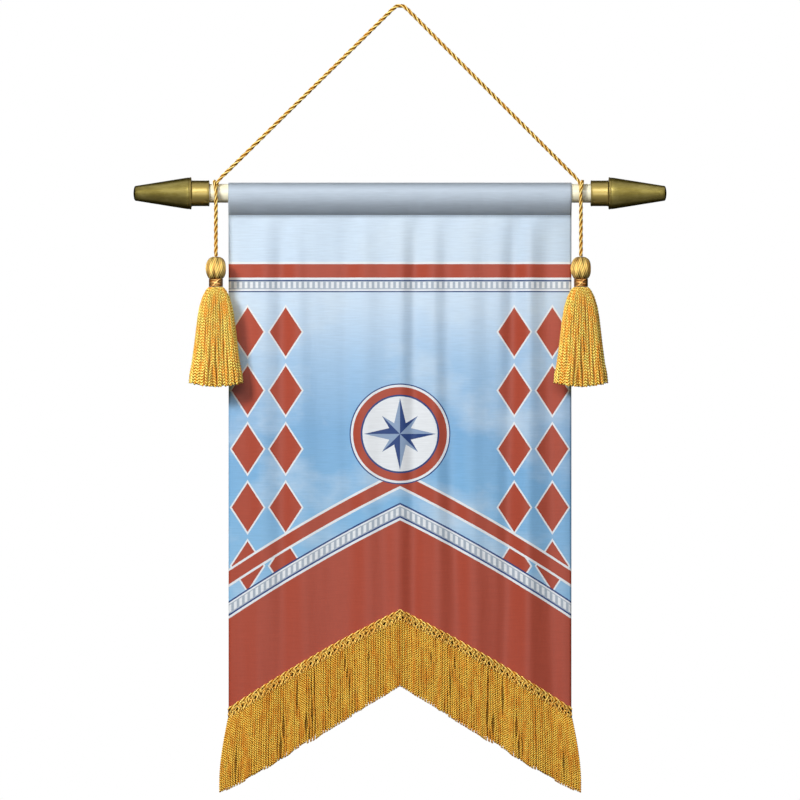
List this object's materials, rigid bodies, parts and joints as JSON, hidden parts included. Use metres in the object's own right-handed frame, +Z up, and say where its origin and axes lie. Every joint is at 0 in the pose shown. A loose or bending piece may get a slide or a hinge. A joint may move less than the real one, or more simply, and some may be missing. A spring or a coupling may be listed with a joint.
{
  "type": "fringed podium banner cloth on a wooden hanging rod",
  "caption": "Hanging podium banner: satin cloth with a swallowtail lower edge and bullion fringe, on a wooden rod with brass finials, a twisted hanging cord and tassels.",
  "frame": {"origin": "underside of the hanging cord's peak, where the hook carries the banner", "axes": "+Z up, front face towards -Y, +X to the right seen from the front, along the rod"},
  "size_m": [0.7106, 0.0615, 1.0485],
  "materials": {
    "cloth": "printed satin polyester, soft sheen",
    "rod": "cream lacquered dowel",
    "finial": "antiqued, lacquered",
    "fringe": "twisted rayon bullion, antique gold",
    "cord": "three-ply twisted rayon cord, gold",
    "tassel": "rayon yarn, bright gold",
    "tassel_band": "tightly wound thread, dark gold"
  },
  "bodies": {
    "root": {"banner_cloth": "cloth", "rod": "rod", "finial_left": "finial", "finial_right": "finial", "fringe_left": "fringe", "fringe_right": "fringe", "hanging_cord": "cord", "tassel_left": "tassel", "tassel_right": "tassel", "tassel_band_left": "tassel_band", "tassel_band_right": "tassel_band"}
  },
  "joints": []
}
